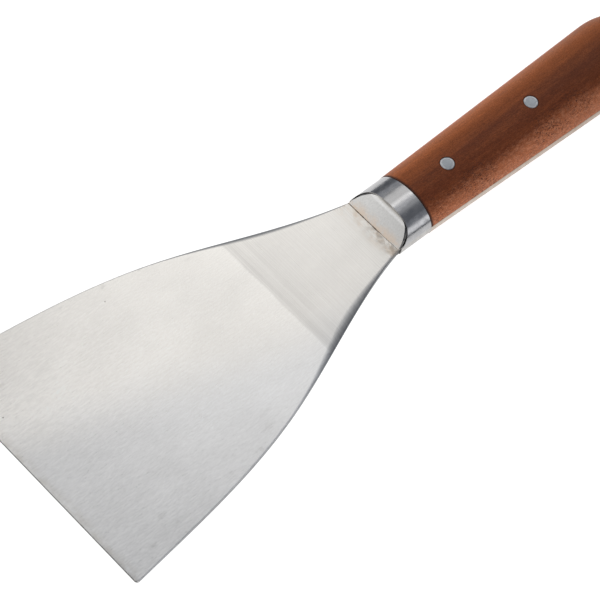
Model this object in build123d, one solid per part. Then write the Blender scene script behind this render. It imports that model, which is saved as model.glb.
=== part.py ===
from build123d import *

import os
from math import radians, sqrt, tan

# A flexible putty knife: a taper-ground steel blade with a full-width tang, two half-bolsters
# brazed to the faces of the tang, and two wooden scales held by rivets right through.
#
# Millimetres. +X points along the knife towards the working edge, +Z is up, and the tang's
# middle plane is the XY plane. The origin is the middle of the knife's length. The crease is
# the line across the knife where the blade meets the bolster.

# Overall
overall_length = 228.0  # butt of the handle to the working edge
blade_length = 118.0  # crease to the working edge
blade_width = 75.0  # along the working edge

# Blade
edge_thickness = 0.6
edge_flare = 6.2  # degrees between a side and the knife's axis, at the working edge
belly_width = 55.2  # blade width part way along its flared sides
belly_from_crease = 55.3
neck_inset = 0.35  # step in from the collar's side to the blade's neck
neck_flare = 12.1  # degrees between a side and the knife's axis, at the crease
heel_length = 35.6  # stiff ground heel, from the crease to where the blade begins to flex
heel_thickness = 2.1  # where the heel ends
tang_thickness = 2.5

# Bolster
bolster_length = 12.5  # crease to the back face
bolster_width = 19.6
bolster_thickness = 13.8  # over both halves, with the tang between them
nose_length = 5.0  # the part in front of the collar, that carries the ramp
nose_inset = 0.3  # step down from the collar to the nose
collar_corner_radius = 4.0  # rounds the collar's front edge, seen from above
ramp_angle = 39.0  # degrees that the ramp rises from the blade
ramp_radius = 2.2  # hollow at the top of the ramp

# Handle, whose oval section begins as the bolster's and grows towards the butt
bolster_gap = 0.15  # shrinkage line between the wood and the bolster
wood_proud = 0.1  # how far the wood stands out past the bolster, all round
shoulder_width = 24.2  # where the widening sides turn in towards the butt
shoulder_from_butt = 12.6
shoulder_radius = 23.4
butt_width = 16.4
butt_corner_radius = 6.0

# Rivets
rivet_diameter = 4.0
rivet_count = 3
first_rivet_from_bolster = 14.1
last_rivet_from_butt = 17.8

# Widths that follow from the bolster's
neck_width = bolster_width - 2 * neck_inset
handle_front_width = bolster_width + 2 * wood_proud
handle_flatness = (bolster_thickness + 2 * wood_proud) / handle_front_width

# Places along the knife
edge_x = overall_length / 2
butt_x = -overall_length / 2
crease_x = edge_x - blade_length
heel_x = crease_x + heel_length
collar_x = crease_x - nose_length
cheek_x = collar_x + collar_corner_radius  # the collar's rounded front edge ends here, at its sides
bolster_x = crease_x - bolster_length
scale_x = bolster_x - bolster_gap
shoulder_x = butt_x + shoulder_from_butt
first_rivet_x = bolster_x - first_rivet_from_bolster
last_rivet_x = butt_x + last_rivet_from_butt
rivet_spacing = (first_rivet_x - last_rivet_x) / (rivet_count - 1)

# Reach of the blocks that cut the pieces apart
far = 2 * overall_length


def half_oval_width(width, thickness, height):
    """Half the width of an oval section at a height above its middle."""
    return width / 2 * sqrt(1 - (2 * height / thickness) ** 2)


def oval_bar(width, thickness, start_x, end_x):
    """A bar of oval section along X."""
    return extrude(Plane.YZ.offset(start_x) * Ellipse(width / 2, thickness / 2), end_x - start_x)


def above_tang():
    """The space above the tang's upper face."""
    return Pos(Z=tang_thickness / 2) * Box(far, far, far, align=(Align.CENTER, Align.CENTER, Align.MIN))


def rivet_bars():
    """One round bar per rivet, longer than the handle is thick."""
    return [Pos(X=first_rivet_x - number * rivet_spacing) * Cylinder(rivet_diameter / 2, shoulder_width)
            for number in range(rivet_count)]


def handle_form():
    """The handle's whole outer form: a turned form, flattened to its oval section."""
    front, shoulder, butt = handle_front_width / 2, shoulder_width / 2, butt_width / 2
    outline = Polyline((bolster_x, 0), (bolster_x, front), (shoulder_x, shoulder), (butt_x, butt),
                       (butt_x, 0), close=True)
    widening = Vector(shoulder_x - bolster_x, shoulder - front)
    turn = widening.get_angle(Vector(butt_x - shoulder_x, butt - shoulder))
    room = shoulder_from_butt - butt_corner_radius
    radius = min(shoulder_radius, room / tan(radians(turn / 2)))
    face = make_face(outline)
    face = fillet(face.vertices().sort_by(Axis.Y)[-1], radius)
    face = fillet(face.vertices().group_by(Axis.X)[0].sort_by(Axis.Y)[-1], butt_corner_radius)
    return scale(revolve(face, Axis.X), by=(1, 1, handle_flatness))


def blade_plan():
    """The blade's outline seen from above, with a short root between the bolster's noses."""
    neck, belly, edge = neck_width / 2, belly_width / 2, blade_width / 2
    side = Spline((crease_x, neck), (crease_x + belly_from_crease, belly), (edge_x, edge),
                  tangents=[(1, tan(radians(neck_flare))), (1, tan(radians(edge_flare)))])
    root = Polyline((cheek_x, 0), (cheek_x, neck), (crease_x, neck))
    half = make_face([root, side, Polyline((edge_x, edge), (edge_x, 0), (cheek_x, 0))])
    return half + mirror(half, Plane.XZ)


def blade_side():
    """The blade seen from the side: a heel that thins slowly, then the thinner flexible part."""
    upper = [(cheek_x, tang_thickness / 2), (crease_x, tang_thickness / 2),
             (heel_x, heel_thickness / 2), (edge_x, edge_thickness / 2)]
    lower = [(x, -z) for x, z in reversed(upper)]
    return make_face(Polyline(*upper, *lower, close=True))


def blade_with_tang():
    """Blade, neck and tang in one piece, with the tang's edges flush with bolster and scales."""
    blade = extrude(blade_plan(), tang_thickness, both=True)
    blade &= extrude(Plane.XZ * blade_side(), blade_width, both=True)
    between_bolsters = oval_bar(bolster_width, bolster_thickness, bolster_x, cheek_x)
    tang = (handle_form() + between_bolsters) & Box(far, far, tang_thickness)
    return tang + blade - rivet_bars()


def nose_clearance():
    """What is cleared away round the nose, up to the collar's rounded front edge."""
    width = 2 * half_oval_width(bolster_width, bolster_thickness, tang_thickness / 2)
    length = 2 * bolster_width
    plan = Pos(X=collar_x + length / 2) * RectangleRounded(length, width, collar_corner_radius)
    return extrude(plan, bolster_thickness)


def ramp_clearance():
    """What is ground away above the ramp, from the crease up to the collar."""
    foot, top = tang_thickness / 2, bolster_thickness
    rise = tan(radians(ramp_angle))
    ramp_top = (collar_x, foot + nose_length * rise)
    outline = Polyline((crease_x, foot), ramp_top, (collar_x, top), (crease_x, top), close=True)
    face = make_face(outline)
    hollow = face.vertices().sort_by_distance(ramp_top)[0]
    return extrude(Plane.XZ * fillet(hollow, ramp_radius), bolster_width, both=True)


def upper_bolster():
    """A polished half-oval collar with a lower nose in front, which carries the ramp."""
    collar = oval_bar(bolster_width, bolster_thickness, bolster_x, crease_x) - nose_clearance()
    nose = oval_bar(bolster_width - 2 * nose_inset, bolster_thickness - 2 * nose_inset,
                    collar_x - nose_inset, crease_x)
    return (collar + nose - ramp_clearance()) & above_tang()


def upper_scale():
    """The wood above the tang, drilled for the rivets."""
    wood = handle_form() & above_tang()
    wood -= Pos(X=scale_x) * Box(far, far, far, align=(Align.MIN, Align.CENTER, Align.CENTER))
    return wood - rivet_bars()


def write(part, node):
    """Write one piece to its STEP file, and stop if it is not exactly one solid."""
    if len(part.solids()) != 1:
        raise ValueError(f"{node} is not one solid")
    solid = part.solid()
    solid.label = node
    export_step(solid, f"parts/{node}.step")


os.makedirs("parts", exist_ok=True)
write(blade_with_tang(), "blade_with_tang")
write(upper_bolster(), "upper_bolster")
write(mirror(upper_bolster(), Plane.XY), "lower_bolster")
write(upper_scale(), "upper_scale")
write(mirror(upper_scale(), Plane.XY), "lower_scale")
for number, bar in enumerate(rivet_bars(), start=1):
    write(handle_form() & bar, f"rivet_{number}")
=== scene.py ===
import math

import bmesh
import bpy
from mathutils import Matrix, Vector


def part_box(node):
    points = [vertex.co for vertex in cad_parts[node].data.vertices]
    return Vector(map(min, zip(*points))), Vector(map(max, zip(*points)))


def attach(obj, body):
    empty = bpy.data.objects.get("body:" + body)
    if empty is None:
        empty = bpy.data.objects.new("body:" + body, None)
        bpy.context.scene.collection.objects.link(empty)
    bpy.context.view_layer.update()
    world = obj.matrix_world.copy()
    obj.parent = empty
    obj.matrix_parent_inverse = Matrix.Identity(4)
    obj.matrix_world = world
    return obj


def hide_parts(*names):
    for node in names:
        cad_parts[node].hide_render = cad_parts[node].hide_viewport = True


# The looks of a flexible putty knife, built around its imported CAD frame. Metres, in the CAD's
# frame: +X points to the working edge, +Z is up, and the tang's middle plane is the XY plane.

MM = 0.001

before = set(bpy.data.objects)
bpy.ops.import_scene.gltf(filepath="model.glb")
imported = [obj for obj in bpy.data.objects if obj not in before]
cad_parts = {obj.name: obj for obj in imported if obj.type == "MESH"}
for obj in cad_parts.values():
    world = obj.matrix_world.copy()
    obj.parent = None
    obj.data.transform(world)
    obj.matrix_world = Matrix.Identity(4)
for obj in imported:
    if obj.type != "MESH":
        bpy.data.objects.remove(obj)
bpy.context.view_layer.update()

# ---------------------------------------------------------------- sizes that the boxes give

blade_low, blade_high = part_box("blade_with_tang")
bolster_low, bolster_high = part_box("upper_bolster")
_, scale_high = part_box("upper_scale")

edge_x, butt_x = blade_high.x, blade_low.x
crease_x, bolster_x = bolster_high.x, bolster_low.x
scale_x = scale_high.x
half_tang = blade_high.z
half_edge = blade_high.y
bolster_top = bolster_high.z

# ------------------------------------------------------- sizes that only the CAD source holds

HEEL_LENGTH = 35.6 * MM
HALF_HEEL = 1.05 * MM  # half the thickness where the heel ends
HALF_TIP = 0.3 * MM  # half the thickness at the working edge
BELLY_FROM_CREASE = 55.3 * MM
HALF_BELLY = 27.6 * MM
HALF_NECK = 9.45 * MM
NECK_FLARE = math.radians(12.1)
EDGE_FLARE = math.radians(6.2)
HALF_BOLSTER = 9.8 * MM
NOSE_LENGTH = 5.0 * MM
NOSE_INSET = 0.3 * MM
COLLAR_CORNER_RADIUS = 4.0 * MM
RAMP_RISE = math.tan(math.radians(39.0))
RAMP_RADIUS = 2.2 * MM
CHEEK_LENGTH = 1.0 * MM  # how far the blade's root reaches in between the noses
HANDLE_FRONT = 9.9 * MM
SHOULDER = 12.1 * MM
SHOULDER_FROM_BUTT = 12.6 * MM
SHOULDER_RADIUS = 23.4 * MM
HALF_BUTT = 8.2 * MM
BUTT_CORNER_RADIUS = 6.0 * MM
FLATNESS = 7.0 / 9.9  # height of the handle's oval section over its width

heel_x = crease_x + HEEL_LENGTH
cheek_x = crease_x - CHEEK_LENGTH
collar_x = crease_x - NOSE_LENGTH
shoulder_x = butt_x + SHOULDER_FROM_BUTT

# --------------------------------------------------------------------------- small finishes

EDGE_BREAK = 0.07 * MM  # how far sharp steel edges are broken
WOOD_BREAK = 0.12 * MM
TIP_CORNER = 0.9 * MM  # rounding of the blade's two front corners, seen from above
ROLL_PEAK = 27.0 * MM  # where past the crease the blade's sides were rounded most
ROLL_SPREAD = 16.0 * MM
ROLL_WIDTH = 0.45 * MM  # how wide and how deep the sides roll off at least
ROLL_DROP = 0.05 * MM
# How much wider and deeper they roll off at the peak, on the +Y side and then on the -Y side
ROLL_GROWTH = ((2.2 * MM, 0.58 * MM), (1.4 * MM, 0.20 * MM))
ROLL_POWER = 1.7  # how sharply the roll bends down at its outer end
STEP_LENGTH = 0.04 * MM  # length of the small steps where the tang changes width


# ---------------------------------------------------------------------------- mesh helpers


def mesh_object(name, verts, faces, sharp_angle=math.radians(28)):
    """A smooth-shaded mesh whose edges stay sharp beyond an angle, in the knife's frame."""
    mesh = bpy.data.meshes.new(name)
    mesh.from_pydata(verts, [], faces)
    shell = bmesh.new()
    shell.from_mesh(mesh)
    bmesh.ops.recalc_face_normals(shell, faces=shell.faces)
    shell.to_mesh(mesh)
    shell.free()
    mesh.polygons.foreach_set("use_smooth", [True] * len(mesh.polygons))
    mesh.validate()
    mesh.set_sharp_from_angle(angle=sharp_angle)
    mesh.update()
    obj = bpy.data.objects.new(name, mesh)
    bpy.context.scene.collection.objects.link(obj)
    return obj


def loft(name, rings, sharp_angle=math.radians(28)):
    """A closed skin over a row of closed rings with as many points each, and a cap at each end."""
    count = len(rings[0])
    verts = [point for ring in rings for point in ring]
    faces = []
    for row in range(len(rings) - 1):
        for i in range(count):
            j = (i + 1) % count
            faces.append((row * count + i, row * count + j, (row + 1) * count + j, (row + 1) * count + i))
    faces.append(tuple(reversed(range(count))))
    faces.append(tuple(range((len(rings) - 1) * count, len(rings) * count)))
    return mesh_object(name, verts, faces, sharp_angle)


def blend_between(low, high, steps):
    """Evenly spaced values from low to high, both included."""
    return [low + (high - low) * i / steps for i in range(steps + 1)]


def rounded_outline(points, radii, steps=16):
    """A run of straight lines through the points, with an arc at each corner that has a radius."""
    made = [points[0]]
    for before, corner, after, radius in zip(points, points[1:], points[2:], radii):
        a, b, c = Vector(before), Vector(corner), Vector(after)
        back, on = (a - b).normalized(), (c - b).normalized()
        half = back.angle(on) / 2
        centre = b + (back + on).normalized() * radius / math.sin(half)
        start = b + back * radius / math.tan(half)
        end = b + on * radius / math.tan(half)
        turn = (start - centre).angle(end - centre)
        if (start - centre).cross(end - centre) < 0:
            turn = -turn
        for angle in blend_between(0, turn, steps):
            spoke = start - centre
            x = spoke.x * math.cos(angle) - spoke.y * math.sin(angle)
            y = spoke.x * math.sin(angle) + spoke.y * math.cos(angle)
            made.append((centre.x + x, centre.y + y))
    made.append(points[-1])
    return made


def look_up(outline, x):
    """The height of an outline at x, between its two nearest points."""
    for (x1, y1), (x2, y2) in zip(outline, outline[1:]):
        if min(x1, x2) <= x <= max(x1, x2) and x1 != x2:
            return y1 + (y2 - y1) * (x - x1) / (x2 - x1)
    return outline[-1][1]


def split_long_runs(outline, longest):
    """The same outline, with more points where they are far apart."""
    made = [outline[0]]
    for (x1, y1), (x2, y2) in zip(outline, outline[1:]):
        steps = max(1, math.ceil(math.hypot(x2 - x1, y2 - y1) / longest))
        made += [(x1 + (x2 - x1) * i / steps, y1 + (y2 - y1) * i / steps) for i in range(1, steps + 1)]
    return made


# --------------------------------------------------------------------------------- outlines


def blade_half_width(x):
    """Half the blade's width between the crease and the working edge, on one smooth curve."""
    run_1, run_2 = BELLY_FROM_CREASE, edge_x - crease_x - BELLY_FROM_CREASE
    slope_0, slope_2 = math.tan(NECK_FLARE), math.tan(EDGE_FLARE)
    rise_1, rise_2 = HALF_BELLY - HALF_NECK, half_edge - HALF_BELLY
    slope_1 = (3 * (rise_1 / run_1**2 + rise_2 / run_2**2) - slope_0 / run_1 - slope_2 / run_2)
    slope_1 /= 2 * (1 / run_1 + 1 / run_2)
    along = x - crease_x
    if along < run_1:
        start, run, rise, low, high = HALF_NECK, run_1, rise_1, slope_0, slope_1
    else:
        along -= run_1
        start, run, rise, low, high = HALF_BELLY, run_2, rise_2, slope_1, slope_2
    t = along / run
    return (start + rise * (3 * t**2 - 2 * t**3)
            + run * (low * (t - 2 * t**2 + t**3) + high * (t**3 - t**2)))


def blade_half_thickness(x):
    """Half the blade's thickness: a heel that thins slowly, then the thinner flexible part."""
    if x < heel_x:
        return half_tang + (HALF_HEEL - half_tang) * (x - crease_x) / HEEL_LENGTH
    return HALF_HEEL + (HALF_TIP - HALF_HEEL) * (x - heel_x) / (edge_x - heel_x)


handle_outline = rounded_outline(
    [(bolster_x, HANDLE_FRONT), (shoulder_x, SHOULDER), (butt_x, HALF_BUTT), (butt_x, 0)],
    [SHOULDER_RADIUS, BUTT_CORNER_RADIUS])[:-1]


def handle_height(x, y):
    """The height of the handle's oval surface over the XY plane."""
    width = look_up(handle_outline, x)
    return FLATNESS * math.sqrt(max(width**2 - y**2, 0))


# ------------------------------------------------------------------------------------ blade


def blade_side(half_width, half_thick, roll_width, roll_drop):
    """The upper half of one side: a square wall, a broken edge, and the face that rolls off to it."""
    brk = min(EDGE_BREAK, half_thick / 3)
    side = [(half_width, 0.0), (half_width, half_thick - roll_drop - brk)]
    for share in (1.0, 0.84, 0.68, 0.52, 0.36, 0.18, 0.0):
        y = half_width - brk - (roll_width - brk) * (1 - share)
        side.append((y, half_thick - roll_drop * share**ROLL_POWER))
    return side + [(half_width * 0.5, half_thick)]


def blade_section(x, half_width, half_thick, right_roll, left_roll):
    """One ring round the steel, whose two sides roll off by their own widths and drops."""
    right = blade_side(half_width, half_thick, *right_roll)
    left = blade_side(half_width, half_thick, *left_roll)
    top = right + [(0.0, half_thick)] + [(-y, z) for y, z in reversed(left)]
    ring = top + [(y, -z) for y, z in reversed(top[1:-1])]
    return [(x, y, z) for y, z in ring]


def tang_section(x, half_width, bulge):
    """One ring round the tang, whose edges follow the oval section of bolster and handle."""
    def edge(z):
        return half_width * math.sqrt(1 - (z / (half_width * bulge)) ** 2)
    rises = (0.0, 0.5, 0.9, 1.0)
    quarter = [(edge(half_tang * share), half_tang * share) for share in rises]
    quarter += [(edge(half_tang) * share, half_tang) for share in (0.93, 0.86, 0.78, 0.7, 0.6, 0.3, 0.0)]
    top = quarter + [(-y, z) for y, z in reversed(quarter[:-1])]
    ring = top + [(y, -z) for y, z in reversed(top[1:-1])]
    return [(x, y, z) for y, z in ring]


def build_blade():
    """Blade, neck and tang as one skin, from the butt to the working edge."""
    tang = split_long_runs(list(reversed(handle_outline)), 2.5 * MM)
    tang[-1] = (bolster_x - STEP_LENGTH, HANDLE_FRONT)
    rings = [tang_section(x, y, FLATNESS) for x, y in tang]
    bolster_bulge = bolster_top / HALF_BOLSTER
    rings += [tang_section(x, HALF_BOLSTER, bolster_bulge)
              for x in (bolster_x, collar_x, cheek_x - STEP_LENGTH)]

    stations = [cheek_x, crease_x] + blend_between(crease_x, heel_x, 28)[1:]
    stations += blend_between(heel_x, edge_x - TIP_CORNER, 52)[1:]
    stations += [edge_x - TIP_CORNER * (1 - math.sin(math.radians(a))) for a in (18, 36, 54, 68, 80)]
    stations += [edge_x - EDGE_BREAK / 4, edge_x]
    for x in stations:
        at = max(x, crease_x)
        width = blade_half_width(at)
        thick = blade_half_thickness(at)
        past = max(0.0, x - (edge_x - TIP_CORNER))
        width -= TIP_CORNER - math.sqrt(max(TIP_CORNER**2 - past**2, 0))
        if x == edge_x:
            thick -= EDGE_BREAK
            width -= EDGE_BREAK
        roll = math.exp(-((at - crease_x - ROLL_PEAK) / ROLL_SPREAD) ** 2)
        rolls = [(ROLL_WIDTH + wider * roll, min(ROLL_DROP + deeper * roll, 0.6 * thick))
                 for wider, deeper in ROLL_GROWTH]
        rings.append(blade_section(x, width, thick, *rolls))
    return loft("blade", rings, math.radians(24))


# ----------------------------------------------------------------------------------- scales


def scale_section(x, half_width, side, inset=0.0):
    """One ring round a scale: the oval above the tang, and its flat underside on the tang."""
    width, height = half_width - inset, (half_width - inset) * FLATNESS
    foot = half_tang
    start = math.asin(min(1.0, (foot + WOOD_BREAK) / height))
    arc = [(width * math.cos(a), height * math.sin(a)) for a in blend_between(start, math.pi - start, 56)]
    ends = width * math.cos(math.asin(min(1.0, foot / height))) - WOOD_BREAK
    ring = [(ends, foot), *arc, (-ends, foot)]
    ring = [(x, y, side * z) for y, z in ring]
    return ring if side > 0 else list(reversed(ring))


def build_scale(name, side):
    """One wooden scale, from the butt to the bolster, with a broken front edge."""
    outline = split_long_runs(list(reversed(handle_outline)), 1.6 * MM)
    outline = [(x, y) for x, y in outline if x < scale_x - WOOD_BREAK]
    rings = [scale_section(x, y, side) for x, y in outline]
    rings.append(scale_section(scale_x - WOOD_BREAK, HANDLE_FRONT, side))
    rings.append(scale_section(scale_x, HANDLE_FRONT, side, WOOD_BREAK))
    return loft(name, rings, math.radians(35))


# ----------------------------------------------------------------------------------- rivets


RIVETS = ("rivet_1", "rivet_2", "rivet_3")
RIVET_SPOKES = 48
HOLE_GAP = 0.05 * MM
SPECK = 0.002 * MM  # points closer than this are one
# The rounding of a rivet's rim: shares of its radius, and how far below the wood's curve in mm
RIVET_HEAD = ((0.35, 0.0), (0.65, 0.01), (0.86, 0.03), (0.94, 0.06), (0.985, 0.11), (1.0, 0.18))


def rivet_circle(node):
    """The middle and the radius of a rivet."""
    low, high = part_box(node)
    return (low + high) / 2, (high.x - low.x) / 2


def circle(node, radius):
    """Points on a circle round a rivet's axis."""
    middle, _ = rivet_circle(node)
    angles = [2 * math.pi * i / RIVET_SPOKES for i in range(RIVET_SPOKES)]
    return [(middle.x + radius * math.cos(a), radius * math.sin(a)) for a in angles]


def build_rivet(name, node):
    """A pin through the handle, dressed to the wood's curve, with softly rounded rims."""
    _, radius = rivet_circle(node)
    up = [[(x, y, handle_height(x, y) - drop * MM) for x, y in circle(node, radius * share)]
          for share, drop in RIVET_HEAD]
    down = [[(x, y, -z) for x, y, z in points] for points in reversed(up)]
    return loft(name, [*up, *down], math.radians(40))


def combine(obj, other, operation):
    """Join another solid to a piece, or cut it away, and use it up."""
    step = obj.modifiers.new("step", "BOOLEAN")
    step.operation = operation
    step.solver = "EXACT"
    step.object = other
    solid = obj.evaluated_get(bpy.context.evaluated_depsgraph_get())
    mesh = bpy.data.meshes.new_from_object(solid)
    obj.modifiers.clear()
    obj.data = mesh
    bpy.data.objects.remove(other)


def cut_holes(obj, clearance):
    """Cut the three rivet holes through a piece."""
    for node in RIVETS:
        _, radius = rivet_circle(node)
        rings = [[(x, y, z) for x, y in circle(node, radius + clearance)]
                 for z in (-2 * bolster_top, 2 * bolster_top)]
        combine(obj, loft("drill", rings), "DIFFERENCE")
    skin = bmesh.new()
    skin.from_mesh(obj.data)
    bmesh.ops.remove_doubles(skin, verts=skin.verts, dist=SPECK)
    skin.to_mesh(obj.data)
    skin.free()
    obj.data.set_sharp_from_angle(angle=math.radians(28))


# --------------------------------------------------------------------------------- bolsters

MARGIN = 0.02 * MM
SHARP_STEEL = math.radians(32)  # edges that turn more than this are broken


def half_oval_bar(name, half_width, height, stations):
    """A bar above the tang with a half-oval section, whose ends may be inset to break an edge."""
    start = math.asin(half_tang / height)
    rings = []
    for x, inset in stations:
        ring = [(x, (half_width - inset) * math.cos(a), (height - inset) * math.sin(a))
                for a in blend_between(start, math.pi - start, 72)]
        ring[0], ring[-1] = (x, ring[0][1], half_tang), (x, ring[-1][1], half_tang)
        rings.append(ring)
    return loft(name, rings)


def prism(name, outline, across, low, high):
    """A solid made by moving an outline along the axis across it: 1 for Y, 2 for Z."""
    rings = []
    for place in (low, high):
        rings.append([(a, place, b) if across == 1 else (a, b, place) for a, b in outline])
    return loft(name, rings)


def make_room(obj):
    """Cut away the collar's front, with an arc at each side, so that the nose can stand there."""
    reach = HALF_BOLSTER * math.sqrt(1 - (half_tang / bolster_top) ** 2) + MARGIN
    far = crease_x + 10 * MM
    plan = rounded_outline([(far, -reach), (collar_x, -reach), (collar_x, reach), (far, reach)],
                           [COLLAR_CORNER_RADIUS] * 2)
    combine(obj, prism("clearance", plan, 2, 0.0, 2 * bolster_top), "DIFFERENCE")


def add_nose(obj):
    """Join the narrower nose to the collar."""
    nose = half_oval_bar("nose", HALF_BOLSTER - NOSE_INSET, bolster_top - NOSE_INSET,
                         [(collar_x - NOSE_INSET, 0.0), (crease_x, 0.0)])
    combine(obj, nose, "UNION")


def cut_ramp(obj):
    """Cut the ramp, with an arc at its head where it meets the collar."""
    top = 2 * bolster_top
    past = 2 * MM
    foot = (crease_x + past, half_tang - past * RAMP_RISE)
    head = (collar_x, half_tang + NOSE_LENGTH * RAMP_RISE)
    profile = rounded_outline([foot, head, (collar_x, top)], [RAMP_RADIUS], 20)
    profile.append((crease_x + past, top))
    combine(obj, prism("ramp", profile, 1, -2 * HALF_BOLSTER, 2 * HALF_BOLSTER), "DIFFERENCE")


def break_edges(obj, side):
    """Break the sharp edges of collar and nose, and turn the piece over for the lower side."""
    solid = bmesh.new()
    solid.from_mesh(obj.data)
    bmesh.ops.remove_doubles(solid, verts=solid.verts, dist=SPECK)
    edges = [edge for edge in solid.edges
             if edge.is_manifold and edge.calc_face_angle() > SHARP_STEEL
             and min(v.co.z for v in edge.verts) > half_tang + MARGIN
             and min(v.co.x for v in edge.verts) > bolster_x + 1 * MM]
    bmesh.ops.bevel(solid, geom=edges, offset=EDGE_BREAK, segments=2, profile=0.5, affect="EDGES",
                    clamp_overlap=True)
    if side < 0:
        bmesh.ops.scale(solid, vec=(1, 1, -1), verts=solid.verts)
        bmesh.ops.reverse_faces(solid, faces=solid.faces)
    for face in solid.faces:
        face.smooth = True
    solid.to_mesh(obj.data)
    solid.free()


def build_bolster(name, side):
    """Half a bolster: a polished collar with rounded front corners, and a nose with the ramp."""
    brk = EDGE_BREAK
    stations = [(bolster_x, brk), (bolster_x + brk * 0.3, brk * 0.3), (bolster_x + brk, 0.0), (crease_x, 0.0)]
    obj = half_oval_bar(name, HALF_BOLSTER, bolster_top, stations)
    make_room(obj)
    add_nose(obj)
    cut_ramp(obj)
    break_edges(obj, side)
    obj.data.set_sharp_from_angle(angle=math.radians(30))
    weigh = obj.modifiers.new("even_shading", "WEIGHTED_NORMAL")
    weigh.keep_sharp = True
    return obj


# ------------------------------------------------------------------------------- braze seam

SEAM_SPOKES = 10
SEAM_SIZE, SEAM_UNEVEN = 0.14, 0.02  # half the line's width in mm, and how much it changes
SEAM_FLATNESS = 0.55  # height of the line over its width


def build_seam(name, side):
    """The thin uneven line of braze where a bolster's ramp meets the blade."""
    rings = []
    for y in blend_between(-HALF_NECK + 0.1 * MM, HALF_NECK - 0.1 * MM, 96):
        wave = math.sin(y / MM * 2.9) + math.sin(y / MM * 6.7 + 1.3) + math.sin(y / MM * 1.1 + 0.4)
        size = (SEAM_SIZE + SEAM_UNEVEN * wave) * MM
        centre_x = crease_x + (0.02 + 0.012 * math.sin(y / MM * 1.7)) * MM
        angles = [2 * math.pi * i / SEAM_SPOKES for i in range(SEAM_SPOKES)]
        rings.append([(centre_x + size * math.cos(a), y,
                       side * (half_tang + size * SEAM_FLATNESS * math.sin(a))) for a in angles])
    return loft(name, rings, math.radians(60))


# -------------------------------------------------------------------------------- materials


class Nodes:
    """A few words for building one node tree."""

    def __init__(self, tree):
        self.tree = tree

    def put(self, kind, inputs=(), **settings):
        """A new node, with its inputs linked or set."""
        node = self.tree.nodes.new(kind)
        for key, value in settings.items():
            setattr(node, key, value)
        for key, value in dict(inputs).items():
            self.feed(node.inputs[key], value)
        return node

    def feed(self, socket, value):
        """Link an output to a socket, or set a constant on it."""
        if isinstance(value, bpy.types.NodeSocket):
            self.tree.links.new(value, socket)
        else:
            socket.default_value = value

    def position(self):
        """Where a point is in the knife's frame, in millimetres."""
        coordinates = self.put("ShaderNodeTexCoord")
        scaled = self.put("ShaderNodeVectorMath", {0: coordinates.outputs["Object"]}, operation="SCALE")
        scaled.inputs["Scale"].default_value = 1 / MM
        return scaled.outputs[0]

    def normal(self):
        """Which way the surface faces, in the knife's frame."""
        return self.put("ShaderNodeNewGeometry").outputs["Normal"]

    def parts(self, vector):
        """The three parts of a vector."""
        split = self.put("ShaderNodeSeparateXYZ", {0: vector})
        return split.outputs[0], split.outputs[1], split.outputs[2]

    def math(self, operation, a, b=0.0, clamp=False):
        node = self.put("ShaderNodeMath", {0: a, 1: b}, operation=operation, use_clamp=clamp)
        return node.outputs[0]

    def plus(self, first, *others, clamp=False):
        for other in others:
            first = self.math("ADD", first, other, clamp)
        return first

    def minus(self, a, b):
        return self.math("SUBTRACT", a, b)

    def times(self, first, *others):
        for other in others:
            first = self.math("MULTIPLY", first, other)
        return first

    def size(self, value):
        return self.math("ABSOLUTE", value)

    def smooth(self, value, low, high, to_low=0.0, to_high=1.0):
        """to_low up to low, to_high from high on, and a smooth step in between."""
        node = self.put("ShaderNodeMapRange", interpolation_type="SMOOTHSTEP")
        for key, number in zip(range(5), (value, low, high, to_low, to_high)):
            self.feed(node.inputs[key], number)
        return node.outputs[0]

    def noise(self, vector, stretch, detail=2.0, roughness=0.5, distortion=0.0, offset=(0, 0, 0)):
        """Noise with its own number of waves per millimetre along each axis."""
        mapped = self.put("ShaderNodeMapping", {"Vector": vector, "Scale": stretch, "Location": offset})
        node = self.put("ShaderNodeTexNoise", {"Vector": mapped.outputs[0], "Scale": 1.0, "Detail": detail,
                                               "Roughness": roughness, "Distortion": distortion})
        return node.outputs[0]

    def spots(self, vector, density):
        """Distance to scattered points, and one random number for each of them."""
        mapped = self.put("ShaderNodeMapping", {"Vector": vector, "Scale": (density, density, density)})
        node = self.put("ShaderNodeTexVoronoi", {"Vector": mapped.outputs[0], "Scale": 1.0})
        return node.outputs["Distance"], self.parts(node.outputs["Color"])[0]

    def blend(self, share, a, b):
        """A number between two others."""
        return self.put("ShaderNodeMix", {0: share, 2: a, 3: b}).outputs[0]

    def mix(self, share, a, b):
        """A colour between two others."""
        node = self.put("ShaderNodeMix", data_type="RGBA")
        self.feed(node.inputs[0], share)
        for socket, value in ((node.inputs[6], a), (node.inputs[7], b)):
            self.feed(socket, (*value, 1.0) if isinstance(value, tuple) else value)
        return node.outputs[2]

    def scale_colour(self, colour, factor):
        """A colour made brighter or darker."""
        node = self.put("ShaderNodeVectorMath", {0: colour}, operation="SCALE")
        self.feed(node.inputs["Scale"], factor)
        return node.outputs[0]

    def bump(self, height, distance_mm, strength=1.0):
        """A normal for small heights, which reach the given distance in millimetres."""
        node = self.put("ShaderNodeBump", {"Height": height, "Strength": strength,
                                           "Distance": distance_mm * MM})
        return node.outputs[0]

def start_material(name, constants):
    """A new material with one Principled shader, whose constant values are set on its sockets."""
    material = bpy.data.materials.new(name)
    material.use_nodes = True
    tree = material.node_tree
    tree.nodes.clear()
    nodes = Nodes(tree)
    shader = nodes.put("ShaderNodeBsdfPrincipled")
    for key, value in constants.items():
        shader.inputs[key].default_value = value
    output = nodes.put("ShaderNodeOutputMaterial")
    tree.links.new(shader.outputs[0], output.inputs[0])
    return material, nodes, shader


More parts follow.
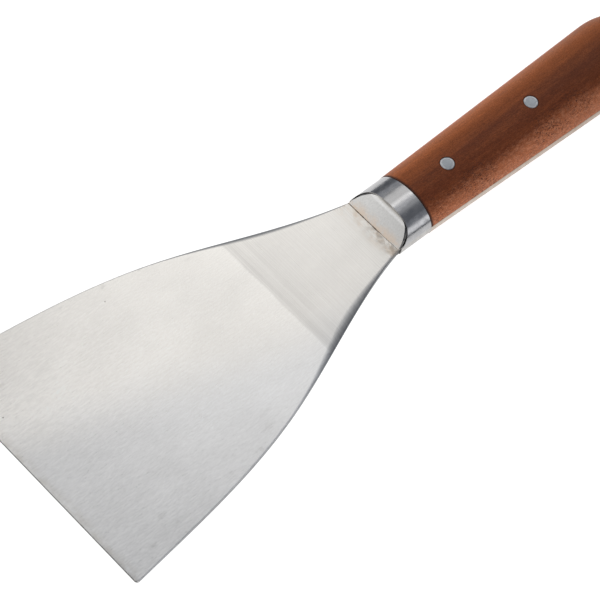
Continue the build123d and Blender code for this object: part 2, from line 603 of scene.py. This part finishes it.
def set_surface(n, shader, colour, rough, normal):
    """Give a shader its colour, its roughness and its bumps."""
    n.feed(shader.inputs["Base Color"], colour)
    n.feed(shader.inputs["Roughness"], rough)
    n.feed(shader.inputs["Normal"], normal)


def past_rivet(n, place, node):
    """How far a point is outside a rivet's rim, in millimetres: below zero on the rivet."""
    x, y, _ = n.parts(place)
    middle, radius = rivet_circle(node)
    offset = n.put("ShaderNodeCombineXYZ", {0: n.minus(x, middle.x / MM), 1: y})
    length = n.put("ShaderNodeVectorMath", {0: offset.outputs[0]}, operation="LENGTH")
    return n.minus(length.outputs["Value"], radius / MM)


# Places along the knife in millimetres, as the materials measure them
BUTT, BACK, COLLAR, CHEEK = butt_x / MM, bolster_x / MM, collar_x / MM, cheek_x / MM
CREASE, HEEL, TIP = crease_x / MM, heel_x / MM, edge_x / MM
WOOD_END = scale_x / MM

# ------------------------------------------------------------------------------ blade steel

# Lit and shaded copies of the steel, for the painted light across the blade
STEEL_PAINTED_LIT, STEEL_PAINTED_SHADE = (0.845, 0.822, 0.783), (0.828, 0.824, 0.818)
HEAT_TINT, RESIDUE = (0.74, 0.60, 0.46), (0.34, 0.295, 0.25)
EDGE_GRIME, STAIN, PIT = (0.50, 0.46, 0.40), (0.36, 0.35, 0.33), (0.16, 0.14, 0.12)
# Painted shade on the blade's walls, and on its rolled-off sides
WALL_SHADE_BACK, WALL_SHADE_FRONT, WALL_SHADE_TIP = (0.06, 0.06, 0.062), (0.13, 0.13, 0.13), (0.05, 0.044, 0.038)
ROLLED_SIDE_SHADE = (0.22, 0.23, 0.245)
TANG_AT_BUTT, TANG_AT_BOLSTER = (0.31, 0.22, 0.16), (0.50, 0.43, 0.365)
BRAZED_TANG = (0.46, 0.452, 0.44)
HEEL_WAVER = 0.9  # how much the line at the heel's end wavers
PAINTED_LIGHT_MIDDLE, PAINTED_LIGHT_SLANT = 86.0, 0.30  # where the painted light turns to painted shade, and its turn across the blade


def grind_marks(n, place, in_heel):
    """Marks of grinding: strokes along the blade, and straight lines across its heel."""
    strokes = n.noise(place, (0.42, 2.3, 1.0), detail=4.0, roughness=0.62, distortion=0.5)
    fine_strokes = n.noise(place, (1.3, 6.0, 1.0), detail=2.0, roughness=0.6)
    lines = n.noise(place, (3.4, 0.035, 1.0), detail=4.0, roughness=0.7)
    fine_lines = n.noise(place, (11.0, 0.10, 1.0), detail=2.0, roughness=0.6)
    along = n.plus(n.times(strokes, 0.6), n.times(fine_strokes, 0.4))
    across = n.plus(n.times(lines, 0.65), n.times(fine_lines, 0.35))
    return n.blend(in_heel, along, across)


def ground_steel(n, place, grind, past_heel, in_heel):
    """The clean ground faces: cloudy, duller on the heel, with darker bands before the heel's end, and
    painted light across them.
    """
    x, y, _ = n.parts(place)
    clouds = n.noise(place, (0.045, 0.07, 0.05), detail=4.0, roughness=0.6)
    bands = n.noise(place, (0.55, 0.01, 1.0), detail=3.0, roughness=0.7, offset=(2, 0, 0))
    near_end = n.times(n.smooth(x, HEEL - 13.0, HEEL), in_heel)
    tone = n.times(
        n.smooth(clouds, 0.28, 0.72, 0.965, 1.035),
        n.smooth(x, HEEL + 22.0, TIP - 8.0, 1.03, 0.99),
        n.smooth(grind, 0.30, 0.70, 0.87, 1.09),
        n.smooth(in_heel, 0.0, 1.0, 1.0, 0.875),
        n.smooth(x, CREASE, CREASE + 14.0, 0.93, 1.0),
        n.minus(1.0, n.times(near_end, n.smooth(bands, 0.35, 0.65, 0.0, 0.11))),
        n.smooth(n.size(n.minus(past_heel, 0.1)), 0.05, 0.40, 0.93, 1.0))

    # Painted light: the middle and the -Y side are painted brighter and warmer, and the +Y front corner is
    # painted as shade
    light_slant = n.plus(y, n.times(n.minus(x, PAINTED_LIGHT_MIDDLE), PAINTED_LIGHT_SLANT),
                   n.times(n.minus(clouds, 0.5), 10.0))
    painted_shade_side = n.smooth(light_slant, -12.0, 9.0)
    painted_bright_zone = n.times(n.minus(1.0, painted_shade_side), n.smooth(y, -28.0, -12.0, 0.25, 1.0),
                       n.smooth(x, HEEL + 6.0, HEEL + 68.0, 0.02, 0.17))
    tone = n.times(tone, n.plus(painted_bright_zone, n.smooth(painted_shade_side, 0.0, 1.0, 1.0, 0.97)))
    return n.scale_colour(n.mix(painted_shade_side, STEEL_PAINTED_LIT, STEEL_PAINTED_SHADE), tone)


def add_residue(n, place, steel):
    """Heat tint and residue of the braze by the crease. Also gives how much there is of both."""
    x, y, _ = n.parts(place)
    from_crease = n.minus(x, CREASE)
    tint_noise = n.noise(place, (0.45, 0.30, 0.4), detail=4.0, roughness=0.65)
    tint = n.times(n.smooth(from_crease, 0.3, 5.5, 1.0, 0.0), n.smooth(tint_noise, 0.38, 0.66))
    smudge_noise = n.noise(place, (0.55, 0.42, 0.4), detail=5.0, roughness=0.7, offset=(3, 7, 0))
    smudge = n.times(n.smooth(from_crease, 0.4, 5.0, 1.0, 0.0), n.smooth(y, -4.0, 4.0),
                     n.smooth(smudge_noise, 0.40, 0.60))
    steel = n.mix(n.times(tint, 0.65), steel, HEAT_TINT)
    steel = n.mix(n.times(smudge, 0.50), steel, RESIDUE)
    return steel, n.plus(smudge, tint)


def add_marks_of_use(n, place, steel):
    """A grimy rim at the working edge, stains along the sides and a few pits. Also gives the pits."""
    x, y, _ = n.parts(place)
    rim_noise = n.noise(place, (0.5, 0.25, 0.5), detail=4.0, roughness=0.65, offset=(0, 11, 0))
    rim = n.times(n.smooth(x, TIP - 3.2, TIP - 0.2), n.smooth(rim_noise, 0.30, 0.62))
    steel = n.mix(n.times(rim, 0.40), steel, EDGE_GRIME)
    stain_noise = n.noise(place, (0.16, 0.45, 0.3), detail=4.0, roughness=0.6, offset=(5, 2, 0))
    stains = n.times(n.smooth(stain_noise, 0.60, 0.70), n.smooth(n.size(y), 14.0, 30.0))
    steel = n.mix(n.times(stains, 0.22), steel, STAIN)
    pit_distance, pit_chance = n.spots(place, 0.10)
    pits = n.times(n.smooth(pit_distance, 0.014, 0.026, 1.0, 0.0), n.smooth(pit_chance, 0.60, 0.61))
    return n.mix(n.times(pits, 0.75), steel, PIT), pits


def paint_side_shade(n, place, steel):
    """Painted shade on the sheared walls and on the rolled-off sides round the blade. Also gives the walls.
    """
    x, _, _ = n.parts(place)
    _, ny, nz = n.parts(n.normal())
    walls = n.times(n.smooth(n.size(nz), 0.35, 0.75, 1.0, 0.0), n.smooth(x, CHEEK - 0.2, CHEEK))
    wall_shade = n.mix(n.smooth(x, CREASE + 15.0, HEEL + 20.0), WALL_SHADE_BACK, WALL_SHADE_FRONT)
    wall_shade = n.mix(n.smooth(x, TIP - 0.5, TIP - 0.1), wall_shade, WALL_SHADE_TIP)
    # Painted shade on the walls
    steel = n.mix(n.times(walls, 0.88), steel, wall_shade)

    # Painted shade on the rolled-off sides, stronger on the -Y side
    past_crease = n.smooth(x, CREASE, CREASE + 3.0)
    both_sides_shade = n.times(n.smooth(n.size(ny), 0.10, 0.42), past_crease,
                         n.smooth(x, HEEL - 2.0, HEEL + 10.0, 0.60, 0.15))
    left_side_shade = n.times(n.smooth(n.times(ny, -1.0), 0.06, 0.22), past_crease,
                        n.smooth(x, HEEL + 5.0, HEEL + 40.0, 0.85, 0.30))
    return n.mix(n.math("MAXIMUM", both_sides_shade, left_side_shade), steel, ROLLED_SIDE_SHADE), walls


def add_bare_tang(n, place, steel):
    """The tang's edges: warm and worn in the handle, and brazed between the bolsters."""
    x, _, _ = n.parts(place)
    in_handle = n.smooth(x, BACK - 0.1, BACK, 1.0, 0.0)
    worn = n.mix(n.smooth(x, BUTT, BACK), TANG_AT_BUTT, TANG_AT_BOLSTER)
    steel = n.mix(n.times(in_handle, 0.9), steel, worn)
    in_bolster = n.times(n.smooth(x, BACK - 0.06, BACK - 0.01), n.smooth(x, CHEEK - 0.1, CHEEK, 1.0, 0.0))
    return n.mix(n.times(in_bolster, 0.9), steel, BRAZED_TANG)


def blade_steel():
    """Ground steel, with its marks of making and of use, painted light and shade, and the bare tang."""
    material, n, shader = start_material("blade_steel", {"Metallic": 1.0})
    place = n.position()
    x, _, _ = n.parts(place)
    waver = n.times(n.minus(n.noise(place, (0.0, 0.12, 0.0)), 0.5), HEEL_WAVER)
    past_heel = n.minus(n.plus(x, waver), HEEL)
    in_heel = n.smooth(past_heel, -0.25, 0.25, 1.0, 0.0)
    grind = grind_marks(n, place, in_heel)

    steel = ground_steel(n, place, grind, past_heel, in_heel)
    steel, residue = add_residue(n, place, steel)
    steel, pits = add_marks_of_use(n, place, steel)
    steel, walls = paint_side_shade(n, place, steel)
    steel = add_bare_tang(n, place, steel)

    rough = n.plus(n.smooth(grind, 0.3, 0.7, 0.27, 0.37), n.times(walls, 0.15), n.times(residue, 0.08))
    height = n.minus(grind, n.times(pits, 1.5))
    set_surface(n, shader, steel, rough, n.bump(height, 0.012, 0.6))
    return material


# ---------------------------------------------------------------------------- bolster steel

COLLAR_DULL, COLLAR_CLEAR = (0.385, 0.385, 0.395), (0.455, 0.45, 0.45)
RAMP_DULL, RAMP_CLEAR = (0.68, 0.672, 0.652), (0.77, 0.76, 0.74)
RAMP_TINT = (0.78, 0.61, 0.46)
# Painted shade on the nose's walls, in front of the collar
NOSE_WALL_SHADE = (0.08, 0.078, 0.075)
# Painted reflection streaks across the collar: where each streak starts and ends along Y in millimetres, and
# how much brighter or darker it is
COLLAR_REFLECTION_BANDS = ((-6.4, -4.9, -0.18), (-4.8, -3.2, 0.28), (-2.8, -0.2, -0.22),
                  (0.3, 2.4, 0.27), (6.0, 8.3, 0.42), (8.1, 9.2, -0.15))
BAND_BLUR = 0.4


def collar_with_painted_bands(n, place, haze):
    """The collar, with streaks of painted reflection across it."""
    _, y, _ = n.parts(place)
    across = n.plus(y, n.times(n.minus(haze, 0.5), 2.0))
    streaks = 1.0
    # Each streak paints a brighter or darker reflection onto the collar
    for start, end, amount in COLLAR_REFLECTION_BANDS:
        rise = n.smooth(across, start - BAND_BLUR, start + BAND_BLUR)
        fall = n.smooth(across, end - BAND_BLUR, end + BAND_BLUR, amount, 0.0)
        streaks = n.plus(n.times(rise, fall), streaks)
    return n.scale_colour(n.mix(haze, COLLAR_DULL, COLLAR_CLEAR), streaks)


def ground_ramp(n, place, marks):
    """The satin ramp, with painted shade darker towards +Y, and heat tint along the crease."""
    x, y, _ = n.parts(place)
    ramp = n.mix(n.smooth(marks, 0.32, 0.68), RAMP_DULL, RAMP_CLEAR)
    # Painted shade: the ramp is painted darker towards +Y
    ramp = n.scale_colour(ramp, n.smooth(y, -8.0, 8.0, 1.05, 0.88))
    tint_noise = n.noise(place, (0.5, 0.35, 0.5), detail=4.0, roughness=0.65, offset=(9, 3, 1))
    tint = n.times(n.smooth(n.minus(CREASE, x), 0.1, 2.6, 1.0, 0.0), n.smooth(tint_noise, 0.36, 0.62))
    return n.mix(n.times(tint, 0.70), ramp, RAMP_TINT)


def on_nose_wall(n, place, on_ramp):
    """1 on the nose's walls, which lie in front of the collar and inside its oval, and 0 elsewhere."""
    x, y, z = n.parts(place)
    level = n.plus(n.math("POWER", n.math("DIVIDE", y, HALF_BOLSTER / MM), 2.0),
                   n.math("POWER", n.math("DIVIDE", z, bolster_top / MM), 2.0))
    inside = n.smooth(level, 0.965, 0.99, 1.0, 0.0)
    return n.times(n.smooth(x, COLLAR, COLLAR + 0.1), n.minus(1.0, on_ramp), inside)


def bolster_steel():
    """A polished collar with fine lines along it and painted reflection streaks, a satin ground ramp with
    painted shade, and painted shade on the nose's walls.
    """
    material, n, shader = start_material("bolster_steel", {"Metallic": 1.0})
    place = n.position()
    x, _, _ = n.parts(place)
    nx, ny, _ = n.parts(n.normal())
    on_ramp = n.times(n.smooth(nx, 0.07, 0.12), n.smooth(n.size(ny), 0.15, 0.30, 1.0, 0.0),
                      n.smooth(x, COLLAR - 0.05, COLLAR + 0.1))
    polish = n.noise(place, (0.35, 5.0, 5.0), detail=3.0, roughness=0.6)
    haze = n.noise(place, (0.35, 0.5, 0.5), detail=4.0, roughness=0.65, offset=(4, 1, 2))
    marks = n.noise(place, (0.8, 2.6, 2.6), detail=4.0, roughness=0.65)

    colour = n.mix(on_ramp, collar_with_painted_bands(n, place, haze), ground_ramp(n, place, marks))
    # Painted shade on the nose's walls
    colour = n.mix(n.times(on_nose_wall(n, place, on_ramp), 0.85), colour, NOSE_WALL_SHADE)
    rough = n.blend(on_ramp, n.smooth(haze, 0.35, 0.70, 0.13, 0.27), 0.36)
    set_surface(n, shader, colour, rough, n.bump(n.blend(on_ramp, polish, marks), 0.006, 0.5))
    return material


# ------------------------------------------------------------------------------ braze metal

# Dark bronze, and a bright colour for the rubbed spots and the painted highlight
BRAZE_DARK, BRAZE_RUBBED_AND_HIGHLIGHT = (0.11, 0.075, 0.045), (0.85, 0.82, 0.76)


def braze_metal():
    """Dull bronze, brighter where it was rubbed in spots, with a painted highlight on its front at the +Y
    end.
    """
    material, n, shader = start_material("braze_metal", {"Metallic": 1.0})
    place = n.position()
    x, y, _ = n.parts(place)
    worn = n.noise(place, (1.0, 0.5, 1.0), detail=3.0, roughness=0.6)
    # Painted highlight along the seam's front at the +Y end
    front = n.times(n.smooth(y, 1.5, 3.0), n.smooth(x, CREASE + 0.04, CREASE + 0.09))
    rubbed_and_highlight = n.plus(n.times(n.smooth(worn, 0.62, 0.74), 0.6), front, clamp=True)
    set_surface(n, shader, n.mix(rubbed_and_highlight, BRAZE_DARK, BRAZE_RUBBED_AND_HIGHLIGHT),
                n.smooth(worn, 0.4, 0.7, 0.55, 0.30), n.bump(worn, 0.02))
    return material


# ------------------------------------------------------------------------------ handle wood

# The wood's shaded top, and lit copies of it for the painted light down its sides
WOOD_TOP_SHADED, WOOD_LEFT_LIT, WOOD_RIGHT_LIT = (0.160, 0.040, 0.014), (0.43, 0.122, 0.036), (0.47, 0.150, 0.064)
WOOD_BLOTCH, WOOD_PORE = (0.60, 0.25, 0.14), (0.055, 0.015, 0.008)
# Painted shade round the rivet holes and where the wood meets the bolster
RIVET_HOLE_SHADE, BOLSTER_JOIN_SHADE = (0.035, 0.015, 0.010), (0.04, 0.016, 0.010)


def wood_colour(n, place, grain_place, fibres):
    """Dark on top, with painted light making its sides lighter, and with streaks, blotches and specks."""
    x, y, _ = n.parts(place)
    streaks = n.noise(grain_place, (0.035, 0.55, 0.55), detail=5.0, roughness=0.6)
    # Painted light on the -Y side, together with the streaks
    lit_side_and_streaks = n.plus(n.smooth(n.times(y, -1.0), -1.0, 9.5), n.smooth(streaks, 0.34, 0.66, -0.08, 0.16),
                     clamp=True)
    wood = n.mix(lit_side_and_streaks, WOOD_TOP_SHADED, WOOD_LEFT_LIT)
    # Painted light on the +Y side
    wood = n.mix(n.smooth(y, 5.6, 9.6), wood, WOOD_RIGHT_LIT)
    mottle = n.noise(place, (0.70, 1.1, 1.1), detail=5.0, roughness=0.72, offset=(2, 5, 9))
    patch = n.noise(place, (0.05, 0.16, 0.16), detail=2.0, offset=(3, 3, 3))
    mottle = n.plus(mottle, n.smooth(patch, 0.35, 0.65, -0.04, 0.04))
    blotch = n.times(n.smooth(mottle, 0.42, 0.66), n.smooth(y, 4.8, 8.5, 0.04, 0.50))
    wood = n.mix(blotch, wood, WOOD_BLOTCH)
    specks = n.noise(place, (2.2, 5.0, 5.0), detail=2.0, roughness=0.7, offset=(8, 2, 4))
    return n.scale_colour(wood, n.times(
        n.smooth(fibres, 0.30, 0.70, 0.80, 1.13),
        n.smooth(specks, 0.32, 0.68, 0.70, 1.24),
        n.smooth(x, BUTT + 15.0, BUTT + 65.0, 0.84, 1.0)))


def open_pores(n, place, grain_place):
    """1 in the wood's pores, which are fewer on its smoother -Y side, and 0 elsewhere."""
    _, y, _ = n.parts(place)
    pores = n.noise(grain_place, (1.5, 4.2, 4.2), detail=2.0, roughness=0.6, offset=(1, 1, 1))
    where = n.noise(place, (0.10, 0.18, 0.18), detail=2.0, offset=(7, 0, 3))
    return n.times(n.smooth(pores, 0.53, 0.62), n.smooth(where, 0.40, 0.60, 0.15, 1.0),
                   n.smooth(y, 2.0, 6.0, 0.25, 1.0))


def handle_wood():
    """Red-brown hardwood: long fibres, streaks, open pores, and painted shade where it meets metal."""
    material, n, shader = start_material("handle_wood", {
        "Specular IOR Level": 0.13, "Sheen Weight": 0.03, "Sheen Roughness": 0.35,
        "Sheen Tint": (1.0, 0.93, 0.85, 1.0)})
    place = n.position()
    x, _, _ = n.parts(place)
    bend = n.noise(place, (0.02, 0.05, 0.05), detail=2.0)
    shift = n.put("ShaderNodeCombineXYZ", {1: n.times(bend, 5.0), 2: n.times(bend, 3.0)})
    bent = n.put("ShaderNodeVectorMath", {0: place, 1: shift.outputs[0]}, operation="ADD")
    grain_place = bent.outputs[0]
    fibres = n.noise(grain_place, (0.30, 4.5, 4.5), detail=4.0, roughness=0.65)
    pores = open_pores(n, place, grain_place)

    wood = n.mix(n.times(pores, 0.85), wood_colour(n, place, grain_place, fibres), WOOD_PORE)
    for node in RIVETS:
        away = past_rivet(n, place, node)
        # Painted shade round each rivet hole
        wood = n.mix(n.smooth(away, 0.05, 0.35, 0.75, 0.0), wood, RIVET_HOLE_SHADE)
    # Painted shade where the wood meets the bolster
    wood = n.mix(n.smooth(x, WOOD_END - 0.8, WOOD_END - 0.1, 0.0, 0.85), wood, BOLSTER_JOIN_SHADE)

    height = n.minus(n.times(fibres, 0.5), pores)
    set_surface(n, shader, wood, n.smooth(fibres, 0.3, 0.7, 0.40, 0.55), n.bump(height, 0.05, 0.7))
    return material


# ------------------------------------------------------------------------------ rivet metal

# Plain rivet metal, and a painted highlight colour for its rim
RIVET_GREY, RIVET_PALE, RIVET_RIM_HIGHLIGHT = (0.40, 0.435, 0.47), (0.47, 0.49, 0.51), (0.72, 0.72, 0.73)


def rivet_metal():
    """Soft pale metal, dressed flush with the wood in fine straight lines, with a painted highlight round its
    rim.
    """
    material, n, shader = start_material("rivet_metal", {"Metallic": 1.0})
    place = n.position()
    lines = n.noise(place, (0.8, 9.0, 9.0), detail=3.0, roughness=0.6)
    cloud = n.noise(place, (0.9, 0.9, 0.9), detail=3.0)
    colour = n.mix(cloud, RIVET_GREY, RIVET_PALE)
    for node in RIVETS:
        away = past_rivet(n, place, node)
        # Painted highlight round the rivet's rim
        rim = n.times(n.smooth(away, -0.65, -0.35), n.smooth(away, 0.2, 0.3, 1.0, 0.0))
        colour = n.mix(n.times(rim, n.smooth(cloud, 0.3, 0.6)), colour, RIVET_RIM_HIGHLIGHT)
    colour = n.scale_colour(colour, n.smooth(lines, 0.3, 0.7, 0.90, 1.06))
    set_surface(n, shader, colour, n.smooth(cloud, 0.3, 0.7, 0.46, 0.56), n.bump(lines, 0.008, 0.6))
    return material


# ----------------------------------------------------------------------------------- pieces


def finish_piece(obj, material, nodes=()):
    """Give a new piece its material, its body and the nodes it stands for."""
    obj.data.materials.clear()
    obj.data.materials.append(material)
    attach(obj, "root")
    if nodes:
        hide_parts(*nodes)


steel, collar_steel, braze = blade_steel(), bolster_steel(), braze_metal()
wood, rivet = handle_wood(), rivet_metal()

blade = build_blade()
cut_holes(blade, 0.0)
finish_piece(blade, steel, ["blade_with_tang"])
for name, node, side in (("scale_upper", "upper_scale", 1), ("scale_lower", "lower_scale", -1)):
    scale = build_scale(name, side)
    cut_holes(scale, HOLE_GAP)
    finish_piece(scale, wood, [node])
for node in RIVETS:
    finish_piece(build_rivet(node.replace("rivet", "pin"), node), rivet, [node])
finish_piece(build_seam("braze_seam_upper", 1), braze)
finish_piece(build_seam("braze_seam_lower", -1), braze)
for name, node, side in (("bolster_upper", "upper_bolster", 1), ("bolster_lower", "lower_bolster", -1)):
    finish_piece(build_bolster(name, side), collar_steel, [node])

# ------------------------------------------------------------------------------------ floor

FLOOR_REACH = 3.0
FLOOR_GREY = 0.30
FLOOR_GLOW = 0.97


def build_floor():
    """A plain white floor that the knife lies on: the blade's edge and the collar touch it."""
    front = Vector((edge_x, 0, -HALF_TIP))
    rear = Vector((collar_x, 0, -bolster_top))
    slope = (front.z - rear.z) / (front.x - rear.x)
    verts = [(x, y, rear.z + slope * (x - rear.x)) for x, y in
             ((-FLOOR_REACH, -FLOOR_REACH), (FLOOR_REACH, -FLOOR_REACH),
              (FLOOR_REACH, FLOOR_REACH), (-FLOOR_REACH, FLOOR_REACH))]
    floor = mesh_object("floor", verts, [(0, 1, 2, 3)])
    material, _, _ = start_material("floor", {
        "Base Color": (FLOOR_GREY, FLOOR_GREY, FLOOR_GREY, 1.0), "Roughness": 0.9,
        "Emission Color": (1.0, 1.0, 1.0, 1.0), "Emission Strength": FLOOR_GLOW})
    floor.data.materials.append(material)


build_floor()

# ------------------------------------------------------------------------------------ light

SKY = (0.186, 0.198, 0.222)  # the dim room all round
WARM, PLAIN = (1.0, 0.983, 0.950), (1.0, 1.0, 1.0)
# Each soft light: its direction, how far round it is at full strength and where it ends in degrees,
# its strength and its tint
SOFT_LIGHTS = (
    ((-0.56, -0.375, 0.739), 12.0, 15.5, 1.27, WARM),
    ((-0.60, -0.02, 0.80), 2, 16, 0.45, PLAIN),
    ((-0.52, -0.70, 0.49), 2, 14, 0.15, PLAIN),
    ((-0.52, 0.80, 0.28), 7, 14, 0.80, PLAIN),
    ((0.60, -0.52, 0.60), 8, 30, 0.75, WARM),
    ((0.20, -0.28, 0.94), 8, 25, 0.55, WARM),
    ((0.93, -0.30, 0.18), 10, 30, 0.85, PLAIN),
    ((0.10, -0.95, 0.30), 12, 34, 1.5, WARM),
    ((0.22, 0.93, 0.30), 12, 34, 1.5, WARM),
    ((-0.95, -0.10, 0.30), 8, 28, 0.8, PLAIN),
)


def build_sky():
    """A dim room with soft lights in it. The camera itself sees plain white all round."""
    world = bpy.data.worlds.new("studio")
    bpy.context.scene.world = world
    world.use_nodes = True
    world.node_tree.nodes.clear()
    n = Nodes(world.node_tree)
    direction = n.put("ShaderNodeTexCoord").outputs["Generated"]
    light = SKY
    for axis, inner, outer, power, tint in SOFT_LIGHTS:
        dot = n.put("ShaderNodeVectorMath", {0: direction, 1: tuple(Vector(axis).normalized())},
                    operation="DOT_PRODUCT").outputs["Value"]
        lobe = n.smooth(dot, math.cos(math.radians(outer)), math.cos(math.radians(inner)), 0.0, power)
        light = n.put("ShaderNodeVectorMath", {0: n.scale_colour(tint, lobe), 1: light},
                      operation="ADD").outputs[0]
    room = n.put("ShaderNodeBackground", {"Color": light, "Strength": 1.0})
    white = n.put("ShaderNodeBackground", {"Color": (1.0, 1.0, 1.0, 1.0), "Strength": 1.0})
    seen = n.put("ShaderNodeLightPath").outputs["Is Camera Ray"]
    both = n.put("ShaderNodeMixShader", {0: seen, 1: room.outputs[0], 2: white.outputs[0]})
    n.put("ShaderNodeOutputWorld", {0: both.outputs[0]})


build_sky()

# ----------------------------------------------------------------------------------- camera

AIM = Vector((26.6, 4.0, 0.0)) * MM
DISTANCE = 740.6 * MM
AZIMUTH = math.radians(30.7)  # from +X towards +Y
ELEVATION = math.radians(55.9)
ROLL = math.radians(18.14)
SENSOR = 36.0
LENS = 173.4


def build_camera():
    """The camera, turned about its own line of sight so that the knife lies diagonally."""
    back = Vector((math.cos(ELEVATION) * math.cos(AZIMUTH), math.cos(ELEVATION) * math.sin(AZIMUTH),
                   math.sin(ELEVATION)))
    level_right = (-back).cross(Vector((0, 0, 1))).normalized()
    level_up = level_right.cross(-back)
    right = math.cos(ROLL) * level_right + math.sin(ROLL) * level_up
    up = math.cos(ROLL) * level_up - math.sin(ROLL) * level_right
    data = bpy.data.cameras.new("camera")
    data.sensor_width = SENSOR
    data.lens = LENS
    data.clip_start = 0.01
    data.clip_end = 20.0
    camera = bpy.data.objects.new("camera", data)
    turn = Matrix((right, up, back)).transposed().to_4x4()
    camera.matrix_world = Matrix.Translation(AIM + back * DISTANCE) @ turn
    bpy.context.scene.collection.objects.link(camera)
    bpy.context.scene.camera = camera


build_camera()
bpy.context.scene.view_settings.view_transform = "Standard"
